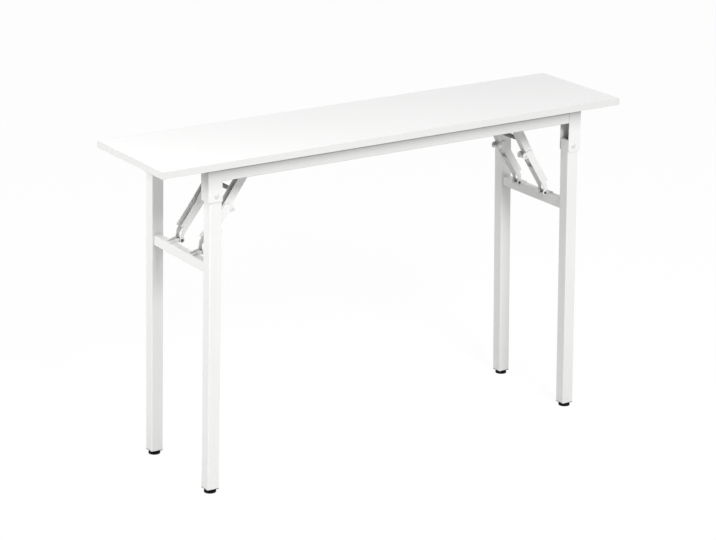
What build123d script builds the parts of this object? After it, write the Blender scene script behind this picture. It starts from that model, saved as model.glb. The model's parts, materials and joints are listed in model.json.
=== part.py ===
"""Folding bar table: a narrow laminated top on a steel frame with two folding leg sets.

Millimetres, +Z up. The origin is on the floor under the middle of the top, X runs along
the length and the front is on the -Y side. Each leg set turns about two rivets at the top
of its legs. A pair of jointed braces locks it open and folds up under the top with it.

Everything that belongs to one end of the table is modelled at the left end, where inboard
is +X, and is mirrored for the right end.
"""
from build123d import *
from dataclasses import dataclass
from math import atan2, cos, degrees, hypot, radians, sin
import os

# Top
top_length = 1600
top_depth = 390
top_height = 990
board_thickness = 20
edge_band_thickness = 1

# Frame under the top
rail_height = 35
rail_width = 20
rail_wall = 1.5
frame_setback = 3.2
cross_tube_height = 20
cross_tube_width = 25
tab_length = 26
tab_width = 22
tab_thickness = 2
tab_spacing = 360
screw_diameter = 4
screw_head_diameter = 8
screw_head_height = 2.4
screw_grip = 11

# Leg sets
leg_size = 38
leg_wall = 1.5
leg_corner_radius = 3
leg_centre_inset_from_end = 171.8
splay_angle = 1.318
leg_top_inboard_reach = 22
leg_top_outboard_reach = 7
cap_thickness = 3
cap_plug_depth = 5
crossbar_width = 25
crossbar_height = 30
crossbar_wall = 1.5
tube_corner_radius = 2

# Feet
plug_flange_thickness = 2
plug_depth = 18
foot_gap = 13
glide_diameter = 36
glide_edge_height = 5
glide_neck_diameter = 22
glide_neck_height = 10
stem_diameter = 8
stem_length = 30

# Pivot brackets
bracket_plate = 2.5
bracket_side_clearance = 0.3
bracket_back_clearance = 4
rivet_diameter = 8
rivet_head_diameter = 14
rivet_head_height = 2.5

# Braces
brace_offset_from_middle = 67
link_plate = 2
lower_link_width = 30.6
lower_link_depth = 24
lower_link_web_offset = 4
lower_link_fork_length = 31
lower_link_knuckle_reach = 7
lower_link_web_cutback = 52
upper_link_width = 25
upper_link_depth = 24
link_web_gap = 1
upper_link_tail = 34
upper_link_ear_length = 24
link_end_radius = 8
knuckle_ear_radius = 10
upper_knuckle_ear_radius = 8.5
link_bend_radius = 1.5
knuckle_rivet_diameter = 7
knuckle_head_diameter = 11
knuckle_head_height = 2
knuckle_inner_head_diameter = 8.4
pin_diameter = 6
pin_head_diameter = 9
pin_head_height = 2
pin_clearance = 0.05
clevis_plate = 2.5
clevis_width = 23
clevis_pin_rise = 6
clevis_end_radius = 6
hanger_thickness = 5
hanger_end_radius = 8
hanger_pin_drop = 32

# Release rods
release_rod_diameter = 7
release_rod_spigot_diameter = 5
release_grip_diameter = 13
release_grip_end_gap = 0.5

# One overrun for every cut
overrun = 1


@dataclass(frozen=True)
class EndSizes:
    """Sizes that differ between the two ends, because one leg set folds over the other."""

    name: str
    pivot_drop: float
    bracket_drop: float
    bracket_corner_radius: float
    crossbar_drop: float
    clevis_pin_inboard: float
    lower_link_length: float
    brace_angle: float
    hanger_inset_from_end: float
    release_rod_along_link: float
    release_rod_across_link: float


left_end = EndSizes(
    name="left",
    pivot_drop=75,
    bracket_drop=92,
    bracket_corner_radius=2,
    crossbar_drop=218,
    clevis_pin_inboard=26.5,
    lower_link_length=146,
    brace_angle=52,
    hanger_inset_from_end=374.4,
    release_rod_along_link=49.5,
    release_rod_across_link=12,
)
right_end = EndSizes(
    name="right",
    pivot_drop=108,
    bracket_drop=127,
    bracket_corner_radius=8,
    crossbar_drop=195,
    clevis_pin_inboard=21.5,
    lower_link_length=153,
    brace_angle=58,
    hanger_inset_from_end=338.5,
    release_rod_along_link=58,
    release_rod_across_link=11,
)
ends = (left_end, right_end)
rows = {"front": -1, "rear": 1}

# Places worked out from the sizes above
underside = top_height - board_thickness
frame_face = top_depth / 2 - frame_setback
leg_face = frame_face - bracket_plate - bracket_side_clearance
leg_row = leg_face - leg_size / 2
leg_column = -(top_length / 2 - leg_centre_inset_from_end)
rail_row = frame_face - bracket_plate - rail_width / 2
bracket_back = leg_column - leg_size / 2 - bracket_back_clearance
bracket_front_edge = leg_column + leg_size / 2
rail_length = -2 * bracket_back
clevis_inner = clevis_width / 2 - clevis_plate
upper_link_web_offset = lower_link_web_offset + link_plate + link_web_gap
leg_top_rise = (leg_top_inboard_reach + leg_top_outboard_reach) / 2
leg_top_slope = degrees(atan2(leg_top_inboard_reach - leg_top_outboard_reach, leg_size))


def pivot_height(end):
    """Height of the leg rivets over the floor."""
    return underside - end.pivot_drop


def leg_plane(end):
    """Frame of a leg set: origin on the rivet line, Z up the legs, X inboard."""
    place = Location((leg_column, 0, pivot_height(end)), (0, splay_angle, 0))
    return place


def clevis_pin_local(end):
    """Clevis pin in the frame of its leg set, as inboard and up."""
    return end.clevis_pin_inboard, -end.crossbar_drop + crossbar_height / 2 + clevis_pin_rise


def clevis_pin_place(end):
    """Clevis pin in the table's X and Z."""
    inboard, up = clevis_pin_local(end)
    tilt = radians(splay_angle)
    x = leg_column + inboard * cos(tilt) + up * sin(tilt)
    z = pivot_height(end) - inboard * sin(tilt) + up * cos(tilt)
    return x, z


def knuckle_place(end):
    """Knuckle in the table's X and Z."""
    x, z = clevis_pin_place(end)
    turn = radians(end.brace_angle)
    return x + end.lower_link_length * cos(turn), z + end.lower_link_length * sin(turn)


def hanger_pin_place(end):
    """Upper end of the brace in the table's X and Z."""
    return -(top_length / 2 - end.hanger_inset_from_end), underside - hanger_pin_drop


def upper_link_length(end):
    """Distance from the knuckle to the hanger pin."""
    knuckle_x, knuckle_z = knuckle_place(end)
    hanger_x, hanger_z = hanger_pin_place(end)
    return hypot(hanger_x - knuckle_x, hanger_z - knuckle_z)


def upper_link_angle(end):
    """Slope of the upper link in degrees."""
    knuckle_x, knuckle_z = knuckle_place(end)
    hanger_x, hanger_z = hanger_pin_place(end)
    return degrees(atan2(hanger_z - knuckle_z, hanger_x - knuckle_x))


def link_place(x, z, angle, row):
    """Place for a link drawn with X along it, Y to its open side and Z across the table."""
    along = (cos(radians(angle)), 0, sin(radians(angle)))
    plane = Plane(origin=(x, row * brace_offset_from_middle, z), x_dir=along, z_dir=(0, -1, 0))
    return plane.location


def lower_link_place(end, row):
    """Place of a lower link, with its origin on the clevis pin."""
    x, z = clevis_pin_place(end)
    return link_place(x, z, end.brace_angle, row)


def upper_link_place(end, row):
    """Place of an upper link, with its origin on the knuckle."""
    x, z = knuckle_place(end)
    return link_place(x, z, upper_link_angle(end), row)


def centred_box(length, width, height, x=0, y=0, z=0):
    """A box about a point."""
    return Pos(x, y, z) * Box(length, width, height)


def crosswise_cylinder(radius, length, x=0, y=0, z=0):
    """A round bar along Y about a point."""
    return Pos(x, y, z) * Rot(90, 0, 0) * Cylinder(radius, length)


def square_tube(width, depth, length, wall, corner):
    """A tube along Z, centred, with rounded outer and inner corners."""
    outer = RectangleRounded(width, depth, corner)
    inner = RectangleRounded(width - 2 * wall, depth - 2 * wall, corner - wall / 2)
    return extrude(outer - inner, length / 2, both=True)


def top_board():
    """The laminated core, with a pilot hole over each frame screw."""
    board = centred_box(
        top_length - 2 * edge_band_thickness,
        top_depth - 2 * edge_band_thickness,
        board_thickness,
        z=top_height - board_thickness / 2,
    )
    depth = screw_grip - tab_thickness + overrun
    for x, y in tab_places():
        board -= Pos(x, y, underside + depth / 2) * Cylinder(screw_diameter / 2, depth)
    return board


def long_edge_band(row):
    """Edge band along the front or the rear of the board."""
    y = row * (top_depth - edge_band_thickness) / 2
    return centred_box(top_length, edge_band_thickness, board_thickness, y=y, z=top_height - board_thickness / 2)


def short_edge_band(side):
    """Edge band across one end of the board, between the long ones."""
    x = side * (top_length - edge_band_thickness) / 2
    width = top_depth - 2 * edge_band_thickness
    return centred_box(edge_band_thickness, width, board_thickness, x=x, z=top_height - board_thickness / 2)


def rail(row):
    """Box rail under one long side, from bracket to bracket."""
    tube = square_tube(rail_height, rail_width, rail_length, rail_wall, tube_corner_radius)
    return Pos(0, row * rail_row, underside - rail_height / 2) * Rot(0, 90, 0) * tube


def cross_tube(end):
    """Tube between the rails that carries the brace hangers of one end."""
    hanger_x, _ = hanger_pin_place(end)
    x = hanger_x - hanger_end_radius + cross_tube_width / 2
    length = 2 * (rail_row - rail_width / 2)
    tube = square_tube(cross_tube_width, cross_tube_height, length, rail_wall, tube_corner_radius)
    return Pos(x, 0, underside - cross_tube_height / 2) * Rot(90, 0, 0) * tube


def tab_places():
    """Screw places along both rails."""
    y = rail_row - rail_width / 2 - tab_width / 2
    return [(step * tab_spacing, row * y) for step in (-1, 0, 1) for row in rows.values()]


def board_tabs():
    """Flat tabs on the rails' inner faces, screwed to the board."""
    tabs = []
    for x, y in tab_places():
        tab = centred_box(tab_length, tab_width, tab_thickness, x, y, underside - tab_thickness / 2)
        bore = screw_diameter / 2 + pin_clearance
        tab -= Pos(x, y, underside - tab_thickness / 2) * Cylinder(bore, tab_thickness + overrun)
        tabs.append(tab)
    return tabs


def board_screws():
    """Pan-head screws through the tabs."""
    screws = []
    for x, y in tab_places():
        seat = underside - tab_thickness
        shank = Pos(x, y, seat + screw_grip / 2) * Cylinder(screw_diameter / 2 - pin_clearance, screw_grip)
        head = Pos(x, y, seat - screw_head_height / 2) * Cylinder(screw_head_diameter / 2, screw_head_height)
        rim = head.edges().group_by(Axis.Z)[0]
        screws.append(shank + fillet(rim, screw_head_height / 2))
    return screws


def bracket(end, row):
    """Folded bracket round the top of one leg, open inboard and below."""
    outer_width = leg_size + 2 * (bracket_side_clearance + bracket_plate)
    depth = bracket_front_edge - bracket_back + bracket_plate
    x = (bracket_front_edge + bracket_back - bracket_plate) / 2
    z = underside - end.bracket_drop / 2
    shell = centred_box(depth, outer_width, end.bracket_drop, x, 0, z)
    shell = fillet(shell.edges().filter_by(Axis.Z).group_by(Axis.X)[0], bracket_plate)
    pocket = centred_box(
        depth, outer_width - 2 * bracket_plate, end.bracket_drop + overrun, x + bracket_plate, 0, z
    )
    shell -= pocket
    lower_corners = shell.edges().filter_by(Axis.Y).group_by(Axis.X)[-1].sort_by(Axis.Z)[0:2]
    shell = fillet(lower_corners, end.bracket_corner_radius)
    bore = rivet_diameter / 2 + pin_clearance
    shell -= crosswise_cylinder(bore, outer_width + overrun, leg_column, 0, pivot_height(end))
    return Pos(0, row * leg_row, 0) * shell


def pivot_rivets(end):
    """The rivet through each bracket and leg."""
    outer_width = leg_size + 2 * (bracket_side_clearance + bracket_plate)
    rivets = []
    for row in rows.values():
        y = row * leg_row
        shank = crosswise_cylinder(rivet_diameter / 2, outer_width, leg_column, y, pivot_height(end))
        for face in (-1, 1):
            head_y = y + face * (outer_width + rivet_head_height) / 2
            head = crosswise_cylinder(
                rivet_head_diameter / 2, rivet_head_height, leg_column, head_y, pivot_height(end)
            )
            crown = head.edges().group_by(Axis.Y)[-1 if face > 0 else 0]
            shank += fillet(crown, rivet_head_height / 2)
        rivets.append(shank)
    return rivets


def leg_bottom(end):
    """Lower end of the leg tube, in the frame of its leg set."""
    return -(pivot_height(end) - foot_gap) / cos(radians(splay_angle))


def leg_top_place(depth=0):
    """Sloping plane across the top of a leg, at a depth under the cap's upper face."""
    return Pos(0, 0, leg_top_rise) * Rot(0, -leg_top_slope, 0) * Pos(0, 0, -depth)


def above_leg_top(depth):
    """Everything over the sloping plane at a depth, as a cutting block."""
    block = Box(2 * leg_size, 2 * leg_size, 2 * leg_size, align=(Align.CENTER, Align.CENTER, Align.MIN))
    return leg_top_place(depth) * block


def leg(end, row):
    """One leg tube with its rivet bore and a sloping top that clears the bracket as it turns."""
    bottom = leg_bottom(end)
    length = leg_top_inboard_reach - bottom
    tube = square_tube(leg_size, leg_size, length, leg_wall, leg_corner_radius)
    tube = Pos(0, 0, leg_top_inboard_reach - length / 2) * tube - above_leg_top(cap_thickness)
    tube -= crosswise_cylinder(rivet_diameter / 2 + pin_clearance, leg_size + overrun)
    return leg_plane(end) * Pos(0, row * leg_row, 0) * tube


def leg_top_slice(size, corner, upper_depth, lower_depth):
    """A slice of a square bar between two sloping planes, in the frame of a leg set."""
    bar = extrude(RectangleRounded(size, size, corner), leg_top_inboard_reach + leg_size, both=True)
    return bar - above_leg_top(upper_depth) - (bar - above_leg_top(lower_depth))


def leg_top_caps(end):
    """Plastic caps pushed into the sloping upper ends of the legs."""
    inside = leg_size - 2 * (leg_wall + pin_clearance)
    inner_corner = leg_corner_radius - leg_wall / 2
    lid = leg_top_slice(leg_size, leg_corner_radius, 0, cap_thickness)
    rim = lid.faces().sort_by(Axis.Z)[-1].edges()
    lid = fillet(rim, cap_thickness / 3)
    plug = leg_top_slice(inside, inner_corner, cap_thickness, cap_thickness + cap_plug_depth)
    cap = lid + plug
    return [leg_plane(end) * Pos(0, row * leg_row, 0) * cap for row in rows.values()]


def foot_plugs(end):
    """Plastic plugs in the lower ends of the legs, bored for the glide stems."""
    plugs = []
    inside = leg_size - 2 * leg_wall
    for row in rows.values():
        flange = extrude(RectangleRounded(leg_size, leg_size, leg_corner_radius), -plug_flange_thickness)
        body = extrude(RectangleRounded(inside, inside, leg_corner_radius - leg_wall / 2), plug_depth)
        bore = Cylinder(stem_diameter / 2 + pin_clearance, 2 * (plug_depth + plug_flange_thickness))
        plug = flange + body - bore
        plugs.append(leg_plane(end) * Pos(0, row * leg_row, leg_bottom(end)) * plug)
    return plugs


def glide(end, row):
    """Screw-in glide: a round pad with a stem, its sole level with the floor."""
    pad_height = foot_gap
    neck_top = -plug_flange_thickness
    pad = Pos(0, 0, neck_top - glide_neck_height / 2) * Cylinder(glide_neck_diameter / 2, glide_neck_height)
    rim_centre = neck_top - glide_neck_height + glide_edge_height / 2
    rim = Pos(0, 0, rim_centre) * Cylinder(glide_diameter / 2, glide_edge_height)
    rim = fillet(rim.edges().group_by(Axis.Z)[-1], glide_edge_height / 2)
    sole_depth = pad_height + plug_flange_thickness
    sole = Pos(0, 0, rim_centre - sole_depth / 2) * Cylinder(glide_diameter / 2, sole_depth)
    stem = Pos(0, 0, neck_top + stem_length / 2) * Cylinder(stem_diameter / 2, stem_length)
    shape = leg_plane(end) * Pos(0, row * leg_row, leg_bottom(end)) * (pad + rim + sole + stem)
    floor_cut = Box(top_length, top_depth, foot_gap, align=(Align.CENTER, Align.CENTER, Align.MAX))
    return shape - Pos(leg_column, 0, 0) * floor_cut


def crossbar(end):
    """Tube between the two legs of a set."""
    length = 2 * leg_row - leg_size
    tube = square_tube(crossbar_width, crossbar_height, length, crossbar_wall, tube_corner_radius)
    return leg_plane(end) * Pos(0, 0, -end.crossbar_drop) * Rot(90, 0, 0) * tube


def clevis(end, row):
    """Folded clevis on the crossbar: a base and two cheeks that hold the brace pin."""
    inboard, up = clevis_pin_local(end)
    bar_top = -end.crossbar_drop + crossbar_height / 2
    half_bar = crossbar_width / 2
    cheek = Plane.XZ * make_face(
        Polyline(
            (-half_bar, bar_top),
            (half_bar, bar_top),
            (inboard, up - clevis_end_radius),
            (inboard, up + clevis_end_radius),
            (half_bar, up + clevis_end_radius),
            (-half_bar, bar_top + clevis_plate),
            close=True,
        )
    )
    cheek += Plane.XZ * Pos(inboard, up) * Circle(clevis_end_radius)
    block = extrude(cheek, clevis_width / 2, both=True)
    slot_height = 2 * (clevis_pin_rise + clevis_end_radius)
    slot = centred_box(
        4 * crossbar_width, 2 * clevis_inner, slot_height, z=bar_top + clevis_plate + slot_height / 2
    )
    overhang = centred_box(
        crossbar_width, 2 * clevis_inner, slot_height, x=half_bar + crossbar_width / 2, z=bar_top
    )
    block = block - slot - overhang
    block -= crosswise_cylinder(pin_diameter / 2 + pin_clearance, clevis_width + overrun, inboard, 0, up)
    return leg_plane(end) * Pos(0, row * brace_offset_from_middle, 0) * block


def headed_pin(radius, grip, head_radius, head_height, x, y, z):
    """A pin along Y with a head at each end."""
    pin = crosswise_cylinder(radius, grip, x, y, z)
    for face in (-1, 1):
        head = crosswise_cylinder(head_radius, head_height, x, y + face * (grip + head_height) / 2, z)
        crown = head.edges().group_by(Axis.Y)[-1 if face > 0 else 0]
        pin += fillet(crown, head_height / 2)
    return pin


def clevis_pins(end):
    """Pins that carry the lower links on the crossbar."""
    inboard, up = clevis_pin_local(end)
    grip = lower_link_width + 2 * pin_clearance
    return [
        leg_plane(end)
        * headed_pin(
            pin_diameter / 2,
            grip,
            pin_head_diameter / 2,
            pin_head_height,
            inboard,
            row * brace_offset_from_middle,
            up,
        )
        for row in rows.values()
    ]


def hanger_lug(end, row):
    """Plate under the cross tube that holds the upper end of one brace."""
    x, z = hanger_pin_place(end)
    top = underside - cross_tube_height
    plate = centred_box(2 * hanger_end_radius, hanger_thickness, top - z, x, 0, (top + z) / 2)
    plate += crosswise_cylinder(hanger_end_radius, hanger_thickness, x, 0, z)
    plate -= crosswise_cylinder(pin_diameter / 2 + pin_clearance, hanger_thickness + overrun, x, 0, z)
    return Pos(0, row * brace_offset_from_middle, 0) * plate


def hanger_pins(end):
    """Pins through the hangers and the upper links."""
    x, z = hanger_pin_place(end)
    grip = upper_link_width + 2 * pin_clearance
    return [
        headed_pin(
            pin_diameter / 2,
            grip,
            pin_head_diameter / 2,
            pin_head_height,
            x,
            row * brace_offset_from_middle,
            z,
        )
        for row in rows.values()
    ]


def link_blank(profile, width, web_offset):
    """A link's side profile through its full width, with the two bends along its back."""
    blank = extrude(profile, width / 2, both=True)
    back = [
        edge
        for edge in blank.edges().filter_by(Axis.X)
        if abs(edge.center().Y - web_offset) < link_bend_radius / 2
    ]
    return fillet(back, link_bend_radius)


def lower_link(end, row):
    """Wide channel from the clevis to the knuckle: a fork below, two rounded ears above."""
    length = end.lower_link_length
    back = lower_link_web_offset
    open_side = back + lower_link_depth
    body_end = length + lower_link_knuckle_reach
    body = Polygon(
        (lower_link_fork_length, back),
        (body_end, back),
        (body_end, open_side - lower_link_knuckle_reach),
        (body_end - lower_link_knuckle_reach, open_side),
        (lower_link_fork_length, open_side),
        align=None,
    )
    fork = Polygon(
        (0, -link_end_radius),
        (lower_link_fork_length / 2, back),
        (lower_link_fork_length + overrun, back),
        (lower_link_fork_length + overrun, open_side * 2 / 3),
        (lower_link_fork_length * 2 / 3, open_side * 2 / 3),
        (0, link_end_radius),
        align=None,
    )
    profile = body + fork + Circle(link_end_radius) + Pos(length, 0) * Circle(knuckle_ear_radius)
    blank = link_blank(profile, lower_link_width, back)
    inside = lower_link_width - 2 * link_plate
    trough = Box(
        2 * (length + lower_link_width),
        lower_link_depth,
        inside,
        align=(Align.CENTER, Align.MIN, Align.CENTER),
    )
    gap = Box(2 * length, 4 * lower_link_depth, inside)
    fork_gap = Pos(lower_link_fork_length - length, 0, 0) * gap
    knuckle_gap = Pos(2 * length - lower_link_web_cutback, 0, 0) * gap
    link = blank - Pos(0, back + link_plate, 0) * trough - fork_gap - knuckle_gap
    link -= Cylinder(pin_diameter / 2 + pin_clearance, lower_link_width + overrun)
    link -= Pos(length, 0, 0) * Cylinder(
        knuckle_rivet_diameter / 2 + pin_clearance, lower_link_width + overrun
    )
    return lower_link_place(end, row) * link


def upper_link(end, row):
    """Narrow channel from the knuckle to the hanger, with a tail that lies on the lower web."""
    length = upper_link_length(end)
    back = upper_link_web_offset
    open_side = back + upper_link_depth
    body_end = length - upper_link_ear_length
    body = Polygon(
        (-upper_link_tail, back),
        (body_end, back),
        (body_end, open_side),
        (-upper_link_tail / 2, open_side),
        (-upper_link_tail, open_side - upper_link_tail / 3),
        align=None,
    )
    ear = Polygon(
        (body_end - overrun, back),
        (length, -link_end_radius),
        (length, link_end_radius),
        (body_end + upper_link_ear_length / 2, link_end_radius),
        (body_end, open_side),
        (body_end - overrun, open_side),
        align=None,
    )
    knuckle_ear = Polygon(
        (-upper_knuckle_ear_radius, 0),
        (upper_knuckle_ear_radius, 0),
        (upper_knuckle_ear_radius, back + overrun),
        (-upper_knuckle_ear_radius, back + overrun),
        align=None,
    )
    knuckle_ear += Circle(upper_knuckle_ear_radius)
    profile = body + ear + knuckle_ear + Pos(length, 0) * Circle(link_end_radius)
    blank = link_blank(profile, upper_link_width, back)
    inside = upper_link_width - 2 * link_plate
    trough = Box(
        4 * length,
        2 * upper_link_depth,
        inside,
        align=(Align.CENTER, Align.MIN, Align.CENTER),
    )
    ear_gap = Pos(body_end + length / 2, 0, 0) * Box(length, 4 * upper_link_depth, inside)
    lobe_gap = Box(2 * upper_knuckle_ear_radius + overrun, 2 * back, inside)
    link = blank - Pos(0, back + link_plate, 0) * trough - ear_gap - lobe_gap
    link -= Pos(length, 0, 0) * Cylinder(pin_diameter / 2 + pin_clearance, upper_link_width + overrun)
    link -= Cylinder(knuckle_rivet_diameter / 2 + pin_clearance, upper_link_width + overrun)
    spigot_bore = Cylinder(
        release_rod_spigot_diameter / 2 + pin_clearance,
        upper_link_width / 2,
        align=(Align.CENTER, Align.CENTER, Align.MIN if row > 0 else Align.MAX),
    )
    link -= Pos(end.release_rod_along_link, end.release_rod_across_link, 0) * spigot_bore
    return upper_link_place(end, row) * link


def knuckle_rivets(end):
    """Inner half of each knuckle rivet, held by the upper link."""
    rivets = []
    for row in rows.values():
        for face in (-1, 1):
            inner = upper_link_width / 2 - link_plate
            outer = lower_link_width / 2 - link_plate - pin_clearance
            shank = Pos(0, 0, face * (inner + outer) / 2) * Cylinder(
                knuckle_rivet_diameter / 2, outer - inner
            )
            head = Pos(0, 0, face * (inner - knuckle_head_height / 2)) * Cylinder(
                knuckle_inner_head_diameter / 2, knuckle_head_height
            )
            rivets.append(upper_link_place(end, row) * (shank + head))
    return rivets


def knuckle_caps(end):
    """Outer half of each knuckle rivet, held by the lower link."""
    caps = []
    for row in rows.values():
        for face in (-1, 1):
            inner = lower_link_width / 2 - link_plate
            outer = lower_link_width / 2
            shank = Pos(0, 0, face * (inner + outer) / 2) * Cylinder(
                knuckle_rivet_diameter / 2, outer - inner
            )
            head = Pos(0, 0, face * (outer + knuckle_head_height / 2)) * Cylinder(
                knuckle_head_diameter / 2, knuckle_head_height
            )
            rim = head.edges().group_by(Axis.Z)[-1 if face > 0 else 0]
            head = fillet(rim, knuckle_head_height / 2)
            caps.append(lower_link_place(end, row) * Pos(end.lower_link_length, 0, 0) * (shank + head))
    return caps


def release_rod_place(end):
    """Axis of the release rod, in the frame of the upper links."""
    x, z = knuckle_place(end)
    turn = radians(upper_link_angle(end))
    along, across = end.release_rod_along_link, end.release_rod_across_link
    return x + along * cos(turn) - across * sin(turn), z + along * sin(turn) + across * cos(turn)


def release_grip_length():
    """The grip ends short of the lower links, which pass it as the brace folds."""
    return 2 * brace_offset_from_middle - lower_link_width - 2 * release_grip_end_gap


def release_rod(end):
    """Rod between the two upper links, with a thinner spigot through each inner flange."""
    x, z = release_rod_place(end)
    spigot_span = 2 * brace_offset_from_middle - upper_link_width + 2 * link_plate
    rod = crosswise_cylinder(release_rod_diameter / 2, release_grip_length(), x, 0, z)
    return rod + crosswise_cylinder(release_rod_spigot_diameter / 2, spigot_span, x, 0, z)


def release_grip(end):
    """Soft sleeve over the release rod."""
    x, z = release_rod_place(end)
    length = release_grip_length()
    sleeve = crosswise_cylinder(release_grip_diameter / 2, length, x, 0, z)
    sleeve = fillet(sleeve.edges().filter_by(GeomType.CIRCLE), release_grip_end_gap)
    return sleeve - crosswise_cylinder(release_rod_diameter / 2 + pin_clearance, length + overrun, x, 0, z)


def as_solids(shape):
    """The separate solids of one node, as a flat list."""
    shapes = shape if isinstance(shape, list) else [shape]
    return [solid for item in shapes for solid in item.solids()]


def write_node(name, shape, side=-1):
    """Write one node to its own file, mirrored for the right end."""
    solids = as_solids(shape)
    if side > 0:
        solids = [mirror(solid, about=Plane.YZ) for solid in solids]
        solids = [solid for item in solids for solid in item.solids()]
    body = solids[0] if len(solids) == 1 else Compound(children=solids)
    export_step(body, f"parts/{name}.step")


def build():
    """Make every node."""
    os.makedirs("parts", exist_ok=True)
    write_node("top_board", top_board())
    write_node("board_tabs", board_tabs())
    write_node("board_screws", board_screws())
    for row_name, row in rows.items():
        write_node(f"edge_band_{row_name}", long_edge_band(row))
        write_node(f"rail_{row_name}", rail(row))
    for end, side in zip(ends, (-1, 1)):
        name = end.name
        write_node(f"edge_band_{name}", short_edge_band(side))
        write_node(f"cross_tube_{name}", cross_tube(end), side)
        write_node(f"pivot_rivets_{name}", pivot_rivets(end), side)
        write_node(f"leg_top_caps_{name}", leg_top_caps(end), side)
        write_node(f"foot_plugs_{name}", foot_plugs(end), side)
        write_node(f"crossbar_{name}", crossbar(end), side)
        write_node(f"clevis_pins_{name}", clevis_pins(end), side)
        write_node(f"hanger_pins_{name}", hanger_pins(end), side)
        write_node(f"knuckle_rivets_{name}", knuckle_rivets(end), side)
        write_node(f"knuckle_caps_{name}", knuckle_caps(end), side)
        write_node(f"release_rod_{name}", release_rod(end), side)
        write_node(f"release_grip_{name}", release_grip(end), side)
        for row_name, row in rows.items():
            write_node(f"bracket_{row_name}_{name}", bracket(end, row), side)
            write_node(f"leg_{row_name}_{name}", leg(end, row), side)
            write_node(f"glide_{row_name}_{name}", glide(end, row), side)
            write_node(f"clevis_{row_name}_{name}", clevis(end, row), side)
            write_node(f"hanger_lug_{row_name}_{name}", hanger_lug(end, row), side)
            write_node(f"lower_link_{row_name}_{name}", lower_link(end, row), side)
            write_node(f"upper_link_{row_name}_{name}", upper_link(end, row), side)


build()
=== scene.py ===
"""Looks of a folding bar table: a white laminated top on a white powder-coated folding frame.

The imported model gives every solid. This script gives them their finishes, adds the weld
beads that hold the frame together, and sets up the studio and the camera.
Everything is in metres, with +X along the top, the front on the -Y side and +Z up.
"""

import json
import logging
import math
from dataclasses import dataclass, field
from enum import Enum
from typing import Sequence

import bmesh
import bpy
from mathutils import Matrix, Vector


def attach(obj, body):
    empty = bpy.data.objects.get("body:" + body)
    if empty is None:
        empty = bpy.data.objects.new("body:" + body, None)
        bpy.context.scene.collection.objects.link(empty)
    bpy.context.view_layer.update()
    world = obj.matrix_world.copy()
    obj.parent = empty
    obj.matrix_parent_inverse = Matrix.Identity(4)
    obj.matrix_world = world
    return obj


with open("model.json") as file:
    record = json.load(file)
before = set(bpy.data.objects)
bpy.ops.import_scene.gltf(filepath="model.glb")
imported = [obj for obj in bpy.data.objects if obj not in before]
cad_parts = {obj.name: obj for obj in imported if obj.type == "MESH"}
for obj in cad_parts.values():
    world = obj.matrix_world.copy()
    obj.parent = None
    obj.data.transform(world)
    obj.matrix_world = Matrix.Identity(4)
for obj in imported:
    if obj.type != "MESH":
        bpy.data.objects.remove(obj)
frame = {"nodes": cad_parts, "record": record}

LOG = logging.getLogger("bar_table")
MM = 0.001

Color = tuple[float, float, float]
Place = tuple[float, float, float]
Range = tuple[float, float]

FULL = (0.0, 1.0)
FADING = (1.0, 0.0)
NOISE_MEAN = 0.5
NOISE_SPREAD = (0.3, 0.7)
WHITE = (1.0, 1.0, 1.0)


class End(Enum):
    """The two ends of the table and the side of X on which each lies."""

    LEFT = ("left", -1)
    RIGHT = ("right", 1)

    def __init__(self, word: str, side: int) -> None:
        """Keep the word used in node names and the sign of X."""
        self.word = word
        self.side = side


class Row(Enum):
    """The front and rear legs and rails, and the side of Y on which each lies."""

    FRONT = ("front", -1)
    REAR = ("rear", 1)

    def __init__(self, word: str, side: int) -> None:
        """Keep the word used in node names and the sign of Y."""
        self.word = word
        self.side = side


class Space(Enum):
    """Where a texture is laid: on the rest shape, so that it stays put as pieces move."""

    OBJECT = "Object"


# Node graphs


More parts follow.
